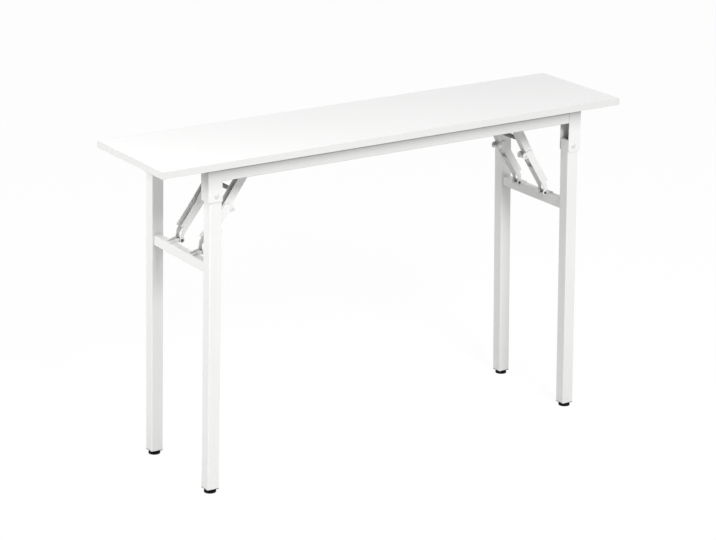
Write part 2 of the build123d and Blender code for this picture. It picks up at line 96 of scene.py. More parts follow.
class Graph:
    """A thin layer over a node tree that adds, sets and links nodes in one call."""

    def __init__(self, tree: bpy.types.NodeTree) -> None:
        """Start from an empty tree.

        Args:
            tree: The material's or group's node tree.
        """
        self.tree = tree
        tree.nodes.clear()

    def node(self, kind: str, inputs: dict | None = None, **settings: object) -> bpy.types.Node:
        """Add a node.

        Args:
            kind: Blender's node type.
            inputs: Values or output sockets by the name or number of the input.
            settings: Attributes of the node itself.

        Returns:
            The new node.
        """
        made = self.tree.nodes.new(kind)
        for name, value in settings.items():
            setattr(made, name, value)
        for name, value in (inputs or {}).items():
            self.feed(made.inputs[name], value)
        return made

    def feed(self, socket: bpy.types.NodeSocket, value: object) -> None:
        """Link an output to a socket, or set the socket's own value.

        Args:
            socket: The input to feed.
            value: An output socket, a number, a colour or a vector.
        """
        if isinstance(value, bpy.types.NodeSocket):
            self.tree.links.new(value, socket)
        elif socket.type == "RGBA" and len(value) == 3:
            socket.default_value = (*value, 1.0)
        else:
            socket.default_value = value

    def math(self, operation: str, *values: object, clamp: bool = False) -> bpy.types.NodeSocket:
        """Add a Math node and return its output.

        Args:
            operation: Blender's name of the operation.
            values: The operands, as numbers or sockets.
            clamp: Whether to hold the result between 0 and 1.

        Returns:
            The node's output.
        """
        inputs = dict(enumerate(values))
        return self.node("ShaderNodeMath", inputs, operation=operation, use_clamp=clamp).outputs[0]

    def span(
        self,
        value: bpy.types.NodeSocket,
        source: Range,
        target: Range = FULL,
    ) -> bpy.types.NodeSocket:
        """Map a range of values onto another, held at both ends.

        Args:
            value: What is mapped.
            source: The range it comes in.
            target: The range it goes out in.

        Returns:
            The mapped value.
        """
        inputs = {"Value": value, 1: source[0], 2: source[1], 3: target[0], 4: target[1]}
        return self.node("ShaderNodeMapRange", inputs, clamp=True).outputs[0]

    def mix(self, factor: object, first: object, second: object) -> bpy.types.NodeSocket:
        """Mix two colours.

        Args:
            factor: The share of the second colour.
            first: A colour or a colour socket.
            second: A colour or a colour socket.

        Returns:
            The mixed colour.
        """
        made = self.node("ShaderNodeMix", {0: factor}, data_type="RGBA")
        self.feed(made.inputs[6], first)
        self.feed(made.inputs[7], second)
        return made.outputs[2]

    def noise(
        self,
        place: bpy.types.NodeSocket,
        scale: object,
        detail: float = 2.0,
        roughness: float = 0.5,
    ) -> bpy.types.NodeSocket:
        """Add a noise texture and return its value.

        Args:
            place: The coordinates.
            scale: Cells per metre.
            detail: Octaves.
            roughness: Strength of the finer octaves.

        Returns:
            The noise value, about 0.5 on average.
        """
        inputs = {"Vector": place, "Scale": scale, "Detail": detail, "Roughness": roughness}
        return self.node("ShaderNodeTexNoise", inputs).outputs[0]

    def place(self, stretch: Sequence[float] = (1.0, 1.0, 1.0)) -> bpy.types.NodeSocket:
        """Coordinates on the rest shape, in metres.

        Args:
            stretch: Factor on each axis.

        Returns:
            The coordinates.
        """
        source = self.node("ShaderNodeTexCoord").outputs[Space.OBJECT.value]
        return self.node("ShaderNodeMapping", {"Vector": source, "Scale": stretch}).outputs[0]


@dataclass(frozen=True)
class Socket:
    """One input or output of a shared effect."""

    name: str
    kind: str = "NodeSocketFloat"
    value: object = None


class Effect:
    """A shader node group that several finishes share. It is built on first use."""

    name: str = ""
    inputs: tuple[Socket, ...] = ()
    outputs: tuple[Socket, ...] = ()

    def build(self, graph: Graph, start: bpy.types.Node, end: bpy.types.Node) -> None:
        """Fill the group between its input and output nodes."""
        raise NotImplementedError

    def tree(self) -> bpy.types.NodeTree:
        """Find the group, or make it with its sockets and nodes.

        Returns:
            The group's node tree.
        """
        found = bpy.data.node_groups.get(self.name)
        if found:
            return found
        tree = bpy.data.node_groups.new(self.name, "ShaderNodeTree")
        for sockets, way in ((self.inputs, "INPUT"), (self.outputs, "OUTPUT")):
            for socket in sockets:
                made = tree.interface.new_socket(socket.name, in_out=way, socket_type=socket.kind)
                if socket.value is not None:
                    made.default_value = socket.value
        graph = Graph(tree)
        start = graph.node("NodeGroupInput")
        end = graph.node("NodeGroupOutput")
        self.build(graph, start, end)
        LOG.info("effect %s ready", self.name)
        return tree

    def put(self, graph: Graph, **values: object) -> bpy.types.Node:
        """Place the effect in a material.

        Args:
            graph: The material's graph.
            values: Values of the group's inputs, with underscores for spaces.

        Returns:
            The group node.
        """
        inputs = {name.replace("_", " "): value for name, value in values.items()}
        return graph.node("ShaderNodeGroup", inputs, node_tree=self.tree())


class OrangePeel(Effect):
    """Fine waves of a sprayed or baked coat, with a height and a roughness."""

    name = "orange_peel"
    inputs = (
        Socket("Wave Scale", value=420.0),
        Socket("Grain Scale", value=2600.0),
        Socket("Grain Share", value=0.25),
        Socket("Base Roughness", value=0.4),
        Socket("Roughness Spread", value=0.08),
    )
    outputs = (Socket("Height"), Socket("Roughness"))
    patch_scale = 9.0

    def build(self, graph: Graph, start: bpy.types.Node, end: bpy.types.Node) -> None:
        """Add slow waves and fine grain, and let the waves shift the roughness.

        Args:
            graph: The group's graph.
            start: The group's input node.
            end: The group's output node.
        """
        place = graph.place()
        waves = graph.noise(place, start.outputs["Wave Scale"], detail=1.0)
        grain = graph.noise(place, start.outputs["Grain Scale"], detail=0.0)
        height = graph.math("MULTIPLY_ADD", grain, start.outputs["Grain Share"], waves)
        patches = graph.noise(place, self.patch_scale, detail=3.0)
        shift = graph.math("SUBTRACT", patches, NOISE_MEAN)
        rough = graph.math(
            "MULTIPLY_ADD",
            shift,
            start.outputs["Roughness Spread"],
            start.outputs["Base Roughness"],
        )
        graph.feed(end.inputs["Height"], height)
        graph.feed(end.inputs["Roughness"], rough)


class EdgeRub(Effect):
    """Mask of corners that hands and floors rub, broken up by noise."""

    name = "edge_rub"
    inputs = (
        Socket("Radius", value=0.0012),
        Socket("Amount", value=0.6),
        Socket("Patch Scale", value=60.0),
    )
    outputs = (Socket("Mask"),)
    rounded_dots: Range = (0.995, 0.8)
    rubbed_patches: Range = (0.48, 0.66)

    def build(self, graph: Graph, start: bpy.types.Node, end: bpy.types.Node) -> None:
        """Compare the rounded normal with the true one, and break the result up.

        Args:
            graph: The group's graph.
            start: The group's input node.
            end: The group's output node.
        """
        rounded = graph.node("ShaderNodeBevel", {"Radius": start.outputs["Radius"]}, samples=6)
        true = graph.node("ShaderNodeNewGeometry").outputs["Normal"]
        dot = graph.node(
            "ShaderNodeVectorMath", {0: rounded.outputs[0], 1: true}, operation="DOT_PRODUCT"
        )
        edge = graph.span(dot.outputs["Value"], self.rounded_dots)
        patches = graph.noise(graph.place(), start.outputs["Patch Scale"], detail=4.0, roughness=0.65)
        broken = graph.math("MULTIPLY", edge, graph.span(patches, self.rubbed_patches))
        mask = graph.math("MULTIPLY", broken, start.outputs["Amount"], clamp=True)
        graph.feed(end.inputs["Mask"], mask)


class CreviceShade(Effect):
    """Mask of painted shade in inner corners and troughs, darker the more closed-in a point is."""

    name = "crevice_shade"
    inputs = (
        Socket("Reach", value=0.02),
        Socket("Amount", value=0.5),
    )
    outputs = (Socket("Mask"),)
    open_shares: Range = (0.1, 0.8)
    mottle_scale = 60.0
    mottle_shades: Range = (0.8, 1.0)

    def build(self, graph: Graph, start: bpy.types.Node, end: bpy.types.Node) -> None:
        """Take how closed-in a point is, and mottle it a little.

        Args:
            graph: The group's graph.
            start: The group's input node.
            end: The group's output node.
        """
        # Painted shade: ambient occlusion over the reach becomes a mask that darkens the coat.
        inputs = {"Distance": start.outputs["Reach"]}
        open_share = graph.node("ShaderNodeAmbientOcclusion", inputs, samples=8).outputs["AO"]
        closed = graph.span(open_share, self.open_shares, FADING)
        mottle = graph.noise(graph.place(), self.mottle_scale, detail=3.0)
        mottle = graph.span(mottle, NOISE_SPREAD, self.mottle_shades)
        shade = graph.math("MULTIPLY", closed, mottle)
        graph.feed(end.inputs["Mask"], graph.math("MULTIPLY", shade, start.outputs["Amount"], clamp=True))


class SeamShade(Effect):
    """Mask that is 1 where the frame meets the board and fades out below the seam."""

    name = "seam_shade"
    inputs = (
        Socket("Seam Height"),
        Socket("Reach", value=0.034),
        Socket("Even Share", value=0.25),
        Socket("Amount", value=0.75),
    )
    outputs = (Socket("Mask"),)
    even_reaches: Range = (0.9, 1.8)
    falloff = 1.7

    def build(self, graph: Graph, start: bpy.types.Node, end: bpy.types.Node) -> None:
        """Add an even shade over the rail's height to one that falls off fast below the seam.

        Args:
            graph: The group's graph.
            start: The group's input node.
            end: The group's output node.
        """
        height = graph.node("ShaderNodeSeparateXYZ", {0: graph.place()}).outputs["Z"]
        below = graph.math("SUBTRACT", start.outputs["Seam Height"], height)
        reaches = graph.math("DIVIDE", below, start.outputs["Reach"])
        near = graph.span(reaches, FULL, FADING)
        falling = graph.math("POWER", near, self.falloff)
        even = graph.span(reaches, self.even_reaches, FADING)
        even = graph.math("MULTIPLY", even, start.outputs["Even Share"])
        rest = graph.math("SUBTRACT", 1.0, start.outputs["Even Share"])
        both = graph.math("MULTIPLY_ADD", falling, rest, even)
        graph.feed(end.inputs["Mask"], graph.math("MULTIPLY", both, start.outputs["Amount"]))


class UndersideShade(Effect):
    """Mask of painted shade on faces that look down at rest."""

    # Painted shade: faces that look down are darkened.
    name = "underside"
    inputs = (Socket("Amount", value=0.45),)
    outputs = (Socket("Mask"),)
    downward: Range = (-0.15, -0.55)

    def build(self, graph: Graph, start: bpy.types.Node, end: bpy.types.Node) -> None:
        """Take how far the rest shape's own normal points down.

        Args:
            graph: The group's graph.
            start: The group's input node.
            end: The group's output node.
        """
        normal = graph.node("ShaderNodeTexCoord").outputs["Normal"]
        rise = graph.node("ShaderNodeSeparateXYZ", {0: normal}).outputs["Z"]
        down = graph.span(rise, self.downward)
        graph.feed(end.inputs["Mask"], graph.math("MULTIPLY", down, start.outputs["Amount"]))


class Dust(Effect):
    """Mask of dust that gathers on upward faces and near the floor."""

    name = "dust"
    inputs = (
        Socket("Amount", value=0.2),
        Socket("Reach Over Floor", value=0.12),
    )
    outputs = (Socket("Mask"),)
    upward: Range = (0.5, 1.0)
    upward_shares: Range = (0.0, 0.35)
    mottle_scale = 45.0
    mottled: Range = (0.35, 0.75)

    def build(self, graph: Graph, start: bpy.types.Node, end: bpy.types.Node) -> None:
        """Add a share for facing up to a share for being low, and mottle the sum.

        Args:
            graph: The group's graph.
            start: The group's input node.
            end: The group's output node.
        """
        place = graph.place()
        height = graph.node("ShaderNodeSeparateXYZ", {0: place}).outputs["Z"]
        low = graph.math("DIVIDE", height, start.outputs["Reach Over Floor"])
        low = graph.span(low, FULL, FADING)
        normal = graph.node("ShaderNodeNewGeometry").outputs["Normal"]
        up = graph.node("ShaderNodeSeparateXYZ", {0: normal}).outputs["Z"]
        up = graph.span(up, self.upward, self.upward_shares)
        mottle = graph.noise(place, self.mottle_scale, detail=5.0, roughness=0.6)
        both = graph.math("ADD", low, up, clamp=True)
        patch = graph.math("MULTIPLY", both, graph.span(mottle, self.mottled))
        graph.feed(end.inputs["Mask"], graph.math("MULTIPLY", patch, start.outputs["Amount"], clamp=True))


class Scuffs(Effect):
    """Thin crossing hairlines, as a mask that is 1 on a line."""

    name = "scuffs"
    inputs = (
        Socket("Scale", value=14.0),
        Socket("Width", value=0.012),
        Socket("Amount", value=0.5),
    )
    outputs = (Socket("Mask"),)
    turns = ((0.3, 0.2, 0.5), (0.3, 0.2, 2.1))
    stretch = (1.0, 0.08, 1.0)
    patch_scale = 6.0
    scuffed_patches: Range = (0.5, 0.62)

    def build(self, graph: Graph, start: bpy.types.Node, end: bpy.types.Node) -> None:
        """Lay two sets of warped lines across each other and keep only parts of them.

        Args:
            graph: The group's graph.
            start: The group's input node.
            end: The group's output node.
        """
        place = graph.place()
        lines: list[bpy.types.NodeSocket] = []
        for turn in self.turns:
            turned = graph.node("ShaderNodeMapping", {"Vector": place, "Rotation": turn})
            inputs = {"Vector": turned.outputs[0], "Scale": self.stretch}
            stretched = graph.node("ShaderNodeMapping", inputs)
            value = graph.noise(stretched.outputs[0], start.outputs["Scale"], detail=1.0)
            off = graph.math("ABSOLUTE", graph.math("SUBTRACT", value, NOISE_MEAN))
            thin = graph.math("DIVIDE", off, start.outputs["Width"])
            lines.append(graph.span(thin, FULL, FADING))
        both = graph.math("MAXIMUM", *lines)
        kept = graph.span(graph.noise(place, self.patch_scale, detail=2.0), self.scuffed_patches)
        mask = graph.math("MULTIPLY", both, kept)
        graph.feed(end.inputs["Mask"], graph.math("MULTIPLY", mask, start.outputs["Amount"], clamp=True))


# Finishes


@dataclass(frozen=True)
class Finish:
    """What every finish has: a name, a colour and a way to build its material."""

    name: str
    color: Color

    def material(self) -> bpy.types.Material:
        """Find the finish's material, or build it. No finish is named as a slot of the record.

        Returns:
            The material.
        """
        found = bpy.data.materials.get(self.name)
        if found:
            return found
        made = bpy.data.materials.new(self.name)
        made.use_nodes = True
        graph = Graph(made.node_tree)
        shader = graph.node("ShaderNodeBsdfPrincipled")
        output = graph.node("ShaderNodeOutputMaterial")
        graph.feed(output.inputs["Surface"], shader.outputs[0])
        self.dress(graph, shader)
        made.diffuse_color = (*self.color, 1.0)
        LOG.info("finish %s ready", self.name)
        return made

    def dress(self, graph: Graph, shader: bpy.types.Node) -> None:
        """Feed the shader. Each finish has its own way."""
        raise NotImplementedError

    def shaded(self, factor: float) -> Color:
        """The finish's own colour, made darker or paler.

        Args:
            factor: What each channel is multiplied by.

        Returns:
            The colour, held under full white.
        """
        return tuple(min(1.0, value * factor) for value in self.color)

    def bump(
        self, graph: Graph, shader: bpy.types.Node, height: bpy.types.NodeSocket, depth: float
    ) -> None:
        """Feed the shader's normal from a height.

        Args:
            graph: The material's graph.
            shader: The shader.
            height: The height as a share of the depth.
            depth: The real depth in metres.
        """
        bump = graph.node("ShaderNodeBump", {"Height": height, "Distance": depth, "Strength": 1.0})
        graph.feed(shader.inputs["Normal"], bump.outputs[0])


@dataclass(frozen=True)
class PowderCoat(Finish):
    """Baked powder on steel: satin, faintly waved, rubbed to a greyer tone on its corners."""

    roughness: float = 0.38
    rub_color: Color = (0.62, 0.62, 0.60)
    dust_color: Color = (0.55, 0.53, 0.49)
    wave_scale: float = 380.0
    wave_depth: float = 0.00004
    cloud_scale: float = 5.0
    cloud_shade: float = 0.975
    dust_amount: float = 0.22
    dust_dulling: float = 0.4
    rub_amount: float = 0.35
    # Painted shade: colour and strengths of the darkening in crevices, below the board seam and on faces
    # that look down.
    crevice_color: Color = (0.17, 0.17, 0.16)
    crevice_amount: float = 0.85
    crevice_reach: float = 0.032
    seam_amount: float = 0.79
    underside_amount: float = 0.45
    gloss_coat: float = 0.15
    gloss_coat_roughness: float = 0.22

    def dress(self, graph: Graph, shader: bpy.types.Node) -> None:
        """Feed colour, roughness and normal from the coat, its rubbed edges, its dust and its painted
        shade.

        Args:
            graph: The material's graph.
            shader: The material's Principled shader.
        """
        peel = OrangePeel().put(graph, Base_Roughness=self.roughness, Wave_Scale=self.wave_scale)
        rub = EdgeRub().put(graph, Amount=self.rub_amount).outputs["Mask"]
        dust = Dust().put(graph, Amount=self.dust_amount).outputs["Mask"]
        cloud = graph.span(graph.noise(graph.place(), self.cloud_scale, detail=4.0), NOISE_SPREAD)
        color = graph.mix(cloud, self.color, self.shaded(self.cloud_shade))
        color = graph.mix(rub, color, self.rub_color)
        # Painted shade: the coat is mixed darker in crevices, below the seam under the board and on faces
        # that look down at rest.
        crevice_shade = CreviceShade().put(graph, Amount=self.crevice_amount, Reach=self.crevice_reach)
        seam = SeamShade().put(graph, Amount=self.seam_amount, Seam_Height=TABLE.underside)
        underside = UndersideShade().put(graph, Amount=self.underside_amount).outputs["Mask"]
        shade = graph.math("MAXIMUM", crevice_shade.outputs["Mask"], seam.outputs["Mask"])
        shade = graph.math("MAXIMUM", shade, underside)
        color = graph.mix(shade, color, self.crevice_color)
        color = graph.mix(dust, color, self.dust_color)
        graph.feed(shader.inputs["Base Color"], color)
        dull = graph.math(
            "MULTIPLY_ADD", dust, self.dust_dulling, peel.outputs["Roughness"], clamp=True
        )
        graph.feed(shader.inputs["Roughness"], dull)
        shader.inputs["Coat Weight"].default_value = self.gloss_coat
        shader.inputs["Coat Roughness"].default_value = self.gloss_coat_roughness
        self.bump(graph, shader, peel.outputs["Height"], self.wave_depth)


@dataclass(frozen=True)
class Laminate(Finish):
    """Melamine on the board: a pearl texture under hairline scuffs."""

    roughness: float = 0.42
    pearl_scale: float = 1400.0
    pearl_depth: float = 0.00003
    cloud_scale: float = 3.0
    cloud_shade: float = 1.015
    scuff_amount: float = 0.35
    scuff_color: Color = (0.8, 0.8, 0.79)
    scuff_tint: float = 0.25
    scuff_dulling: float = 0.2
    scuff_depth: float = -0.6
    patch_scale: float = 7.0
    patch_spread: float = 0.05

    def dress(self, graph: Graph, shader: bpy.types.Node) -> None:
        """Feed colour, roughness and normal from the pearl texture and the scuffs.

        Args:
            graph: The material's graph.
            shader: The material's Principled shader.
        """
        place = graph.place()
        inputs = {"Vector": place, "Scale": self.pearl_scale}
        cells = graph.node("ShaderNodeTexVoronoi", inputs, feature="SMOOTH_F1").outputs["Distance"]
        scuffs = Scuffs().put(graph, Amount=self.scuff_amount).outputs["Mask"]
        cloud = graph.noise(place, self.cloud_scale, detail=5.0, roughness=0.6)
        cloud = graph.span(cloud, NOISE_SPREAD)
        color = graph.mix(cloud, self.color, self.shaded(self.cloud_shade))
        color = graph.mix(graph.math("MULTIPLY", scuffs, self.scuff_tint), color, self.scuff_color)
        graph.feed(shader.inputs["Base Color"], color)
        patches = graph.noise(place, self.patch_scale, detail=4.0)
        range_out = (self.roughness - self.patch_spread, self.roughness + self.patch_spread)
        rough = graph.span(patches, NOISE_SPREAD, range_out)
        dull = graph.math("MULTIPLY_ADD", scuffs, self.scuff_dulling, rough)
        graph.feed(shader.inputs["Roughness"], dull)
        height = graph.math("MULTIPLY_ADD", scuffs, self.scuff_depth, cells)
        self.bump(graph, shader, height, self.pearl_depth)


@dataclass(frozen=True)
class EdgeBanding(Finish):
    """Extruded edge band: fine lines along it and a faint rub on its corners."""

    roughness: float = 0.45
    line_scale: float = 1800.0
    line_depth: float = 0.00002
    line_stretch: Place = (0.01, 0.01, 1.0)
    line_spread: float = 0.06
    cloud_scale: float = 8.0
    cloud_shade: float = 0.98
    rub_amount: float = 0.3
    rub_radius: float = 0.0008
    rub_color: Color = (0.72, 0.71, 0.69)

    def dress(self, graph: Graph, shader: bpy.types.Node) -> None:
        """Feed colour, roughness and normal from the extrusion's lines.

        Args:
            graph: The material's graph.
            shader: The material's Principled shader.
        """
        lines = graph.noise(graph.place(self.line_stretch), self.line_scale, detail=1.0)
        rub = EdgeRub().put(graph, Amount=self.rub_amount, Radius=self.rub_radius).outputs["Mask"]
        cloud = graph.span(graph.noise(graph.place(), self.cloud_scale, detail=3.0), NOISE_SPREAD)
        color = graph.mix(cloud, self.color, self.shaded(self.cloud_shade))
        color = graph.mix(rub, color, self.rub_color)
        graph.feed(shader.inputs["Base Color"], color)
        range_out = (self.roughness - self.line_spread, self.roughness + self.line_spread)
        graph.feed(shader.inputs["Roughness"], graph.span(lines, NOISE_SPREAD, range_out))
        self.bump(graph, shader, lines, self.line_depth)


@dataclass(frozen=True)
class PlatedSteel(Finish):
    """Plated rivets, pins and screws: metal with fine turning marks and duller patches."""

    roughness: float = 0.42
    smoothest: float = -0.08
    dullest: float = 0.14
    patch_scale: float = 260.0
    patch_shade: float = 0.84
    dull_patches: Range = (0.45, 0.7)
    rough_patches: Range = (0.35, 0.7)
    mark_scale: float = 5200.0
    mark_stretch: Place = (1.0, 0.05, 1.0)
    mark_depth: float = 0.00003

    def dress(self, graph: Graph, shader: bpy.types.Node) -> None:
        """Feed colour, roughness and normal from the marks and the dull patches.

        Args:
            graph: The material's graph.
            shader: The material's Principled shader.
        """
        patches = graph.noise(graph.place(), self.patch_scale, detail=4.0, roughness=0.6)
        marks = graph.noise(graph.place(self.mark_stretch), self.mark_scale, detail=1.0)
        dull = graph.span(patches, self.dull_patches)
        color = graph.mix(dull, self.color, self.shaded(self.patch_shade))
        graph.feed(shader.inputs["Base Color"], color)
        shader.inputs["Metallic"].default_value = 1.0
        range_out = (self.roughness + self.smoothest, self.roughness + self.dullest)
        graph.feed(shader.inputs["Roughness"], graph.span(patches, self.rough_patches, range_out))
        self.bump(graph, shader, marks, self.mark_depth)


@dataclass(frozen=True)
class BlackCoat(Finish):
    """Thin black coat on stamped steel, worn through to grey on its corners."""

    roughness: float = 0.48
    bare_color: Color = (0.34, 0.34, 0.33)
    wave_scale: float = 700.0
    wave_depth: float = 0.00003
    rub_amount: float = 0.9
    rub_radius: float = 0.0008
    rub_scale: float = 220.0
    dust_amount: float = 0.35
    dust_color: Color = (0.3, 0.29, 0.27)

    def dress(self, graph: Graph, shader: bpy.types.Node) -> None:
        """Feed colour, roughness and normal from the coat and its worn corners.

        Args:
            graph: The material's graph.
            shader: The material's Principled shader.
        """
        peel = OrangePeel().put(graph, Base_Roughness=self.roughness, Wave_Scale=self.wave_scale)
        rub = EdgeRub().put(
            graph, Amount=self.rub_amount, Radius=self.rub_radius, Patch_Scale=self.rub_scale
        )
        dust = Dust().put(graph, Amount=self.dust_amount).outputs["Mask"]
        color = graph.mix(rub.outputs["Mask"], self.color, self.bare_color)
        color = graph.mix(dust, color, self.dust_color)
        graph.feed(shader.inputs["Base Color"], color)
        graph.feed(shader.inputs["Roughness"], peel.outputs["Roughness"])
        self.bump(graph, shader, peel.outputs["Height"], self.wave_depth)


@dataclass(frozen=True)
class MouldedPlastic(Finish):
    """Moulded plastic: spark-eroded grain, dusty where it meets the floor."""

    roughness: float = 0.5
    grain_scale: float = 1900.0
    grain_depth: float = 0.00005
    smoothest: float = -0.08
    dullest: float = 0.1
    dust_amount: float = 0.25
    dust_reach: float = 0.02
    dust_color: Color = (0.22, 0.21, 0.2)
    dust_dulling: float = 0.3
    gloss: float = 0.5

    def dress(self, graph: Graph, shader: bpy.types.Node) -> None:
        """Feed colour, roughness and normal from the grain and the dust.

        Args:
            graph: The material's graph.
            shader: The material's Principled shader.
        """
        shader.inputs["Specular IOR Level"].default_value = self.gloss
        grain = graph.noise(graph.place(), self.grain_scale, detail=2.0, roughness=0.7)
        dust = Dust().put(graph, Amount=self.dust_amount, Reach_Over_Floor=self.dust_reach)
        dust = dust.outputs["Mask"]
        graph.feed(shader.inputs["Base Color"], graph.mix(dust, self.color, self.dust_color))
        range_out = (self.roughness + self.smoothest, self.roughness + self.dullest)
        rough = graph.span(grain, NOISE_SPREAD, range_out)
        dull = graph.math("MULTIPLY_ADD", dust, self.dust_dulling, rough)
        graph.feed(shader.inputs["Roughness"], dull)
        self.bump(graph, shader, grain, self.grain_depth)


@dataclass(frozen=True)
class SleeveRubber(Finish):
    """Soft dark grey sleeve: matt, finely pitted, greyed where fingers pull it."""

    roughness: float = 0.62
    smoothest: float = -0.07
    dullest: float = 0.1
    pit_scale: float = 2400.0
    pit_depth: float = 0.00006
    worn_scale: float = 70.0
    worn_patches: Range = (0.45, 0.75)
    worn_shares: Range = (0.0, 0.5)
    worn_color: Color = (0.26, 0.26, 0.25)

    def dress(self, graph: Graph, shader: bpy.types.Node) -> None:
        """Feed colour, roughness and normal from the pits and the greyed patches.

        Args:
            graph: The material's graph.
            shader: The material's Principled shader.
        """
        place = graph.place()
        pits = graph.noise(place, self.pit_scale, detail=1.0)
        worn = graph.noise(place, self.worn_scale, detail=4.0)
        worn = graph.span(worn, self.worn_patches, self.worn_shares)
        graph.feed(shader.inputs["Base Color"], graph.mix(worn, self.color, self.worn_color))
        range_out = (self.roughness + self.smoothest, self.roughness + self.dullest)
        graph.feed(shader.inputs["Roughness"], graph.span(pits, NOISE_SPREAD, range_out))
        self.bump(graph, shader, pits, self.pit_depth)


@dataclass(frozen=True)
class Finishes:
    """Every finish on the table, by the record's material slots."""

    top_laminate: Laminate = Laminate("white_laminate", (0.93, 0.93, 0.925))
    edge_banding: EdgeBanding = EdgeBanding("white_edge_band", (0.76, 0.76, 0.75))
    powder_coat: PowderCoat = PowderCoat("white_powder_coat", (0.85, 0.855, 0.84))
    zinc_plate: PlatedSteel = PlatedSteel("bright_zinc", (0.78, 0.78, 0.76))
    dark_steel: BlackCoat = BlackCoat("black_coated_steel", (0.06, 0.06, 0.06))
    grey_plastic: MouldedPlastic = MouldedPlastic("grey_cap_plastic", (0.5, 0.5, 0.49))
    black_plastic: MouldedPlastic = MouldedPlastic(
        "black_foot_plastic", (0.007, 0.007, 0.007), dust_amount=0.03, gloss=0.08
    )
    grey_sleeve: SleeveRubber = SleeveRubber("grey_grip_rubber", (0.17, 0.17, 0.16))

    def of_slot(self, slot: str) -> Finish:
        """Find a finish by the record's name for it.

        Args:
            slot: The record's material slot.

        Returns:
            The finish.
        """
        return getattr(self, slot)


# Weld beads


@dataclass
class WeldBead:
    """A fillet weld: a row of small overlapping puddles along a line, under the paint."""

    name: str
    path: Sequence[Vector]
    body: str
    leg: float = 2.6 * MM
    ripple: float = 0.16
    wander_share: float = 0.3
    wander_rate: float = 0.37
    pitch: float = 2.2 * MM
    steps_per_pitch: int = 4
    fewest_steps: int = 2
    end_size: float = 0.45
    sides: int = 8
    closed: bool = False

    def stations(self) -> list[tuple[Vector, Vector, float]]:
        """Points along the line with their direction and their share of the full size.

        Returns:
            Point, direction and size of each station.
        """
        points = [Vector(point) for point in self.path]
        if self.closed:
            points.append(points[0])
        found: list[tuple[Vector, Vector, float]] = []
        travelled = 0.0
        for start, stop in zip(points, points[1:]):
            run = stop - start
            steps = max(self.fewest_steps, round(run.length / (self.pitch / self.steps_per_pitch)))
            for step in range(steps + (stop is points[-1])):
                along = run.length * step / steps
                phase = math.tau * (travelled + along) / self.pitch
                wander = self.wander_share * self.ripple * math.sin(phase * self.wander_rate)
                size = 1.0 + self.ripple * math.sin(phase) + wander
                found.append((start + run * (step / steps), run.normalized(), size))
            travelled += run.length
        return found

    def ring(self, mesh: bmesh.types.BMesh, point: Vector, way: Vector, size: float) -> list:
        """Lay one round section of the bead.

        Args:
            mesh: The mesh that gets its vertices.
            point: The middle of the section.
            way: The direction of the weld there.
            size: The section's share of the full size.

        Returns:
            The section's vertices in order.
        """
        across = way.orthogonal().normalized()
        up = way.cross(across)
        radius = self.leg * size / math.sqrt(2)
        turns = [math.tau * side / self.sides for side in range(self.sides)]
        return [
            mesh.verts.new(point + radius * (across * math.cos(turn) + up * math.sin(turn)))
            for turn in turns
        ]

    def build(self, finish: Finish) -> bpy.types.Object:
        """Sweep a round section along the line and seat it on its body.

        Args:
            finish: The coat over the weld.

        Returns:
            The bead.
        """
        mesh = bmesh.new()
        rings: list[list[bmesh.types.BMVert]] = []
        stations = self.stations()
        last = len(stations) - 1
        for index, (point, way, size) in enumerate(stations):
            if not self.closed and index in (0, last):
                size *= self.end_size
            rings.append(self.ring(mesh, point, way, size))
        for ring, after in zip(rings, rings[1:]):
            for side in range(self.sides):
                beside = (side + 1) % self.sides
                mesh.faces.new((ring[side], ring[beside], after[beside], after[side]))
        if not self.closed:
            mesh.faces.new(list(reversed(rings[0])))
            mesh.faces.new(rings[-1])
        bmesh.ops.recalc_face_normals(mesh, faces=mesh.faces)
        data = bpy.data.meshes.new(self.name)
        mesh.to_mesh(data)
        mesh.free()
        data.polygons.foreach_set("use_smooth", [True] * len(data.polygons))
        made = bpy.data.objects.new(self.name, data)
        bpy.context.scene.collection.objects.link(made)
        data.materials.append(finish.material())
        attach(made, self.body)
        LOG.info("weld %s with %d stations", self.name, len(stations))
        return made


# Sub-assemblies


@dataclass(frozen=True)
class EndPlan:
    """Where the welded pieces of one end lie, in metres, in the table's rest pose."""

    end: End
    rivet_height: float
    crossbar_drop: float
    hanger_inset: float

    @property
    def hanger_x(self) -> float:
        """X of the hanger pins."""
        return self.end.side * (TABLE.half_length - self.hanger_inset)

    def on_leg_set(self, inboard: float, across: float, up: float) -> Vector:
        """A point given from the rivet line, turned with the splay of the legs.

        Args:
            inboard: Distance towards the middle of the table.
            across: Y of the point.
            up: Height over the rivets, along the legs.

        Returns:
            The point in the table's frame.
        """
        x = -TABLE.leg_column + inboard * math.cos(TABLE.splay) + up * math.sin(TABLE.splay)
        z = self.rivet_height - inboard * math.sin(TABLE.splay) + up * math.cos(TABLE.splay)
        return Vector((-self.end.side * x, across, z))


@dataclass(frozen=True)
class TablePlan:
    """Sizes that both ends share, in metres."""

    half_length: float = 0.8
    leg_column: float = 0.6282
    splay: float = math.radians(1.318)
    leg_size: float = 0.038
    leg_row: float = 0.170
    rail_inner: float = 0.1693
    rail_face: float = 0.1893
    underside: float = 0.970
    rail_height: float = 0.035
    cross_tube_height: float = 0.020
    cross_tube_width: float = 0.025
    cross_tube_lead: float = 0.008
    crossbar_width: float = 0.025
    crossbar_height: float = 0.030
    brace_row: float = 0.067
    lug_half_length: float = 0.008
    lug_half_width: float = 0.0025
    clevis_half_width: float = 0.0115


TABLE = TablePlan()
LEFT_PLAN = EndPlan(End.LEFT, rivet_height=0.895, crossbar_drop=0.218, hanger_inset=0.3744)
RIGHT_PLAN = EndPlan(End.RIGHT, rivet_height=0.862, crossbar_drop=0.195, hanger_inset=0.3385)


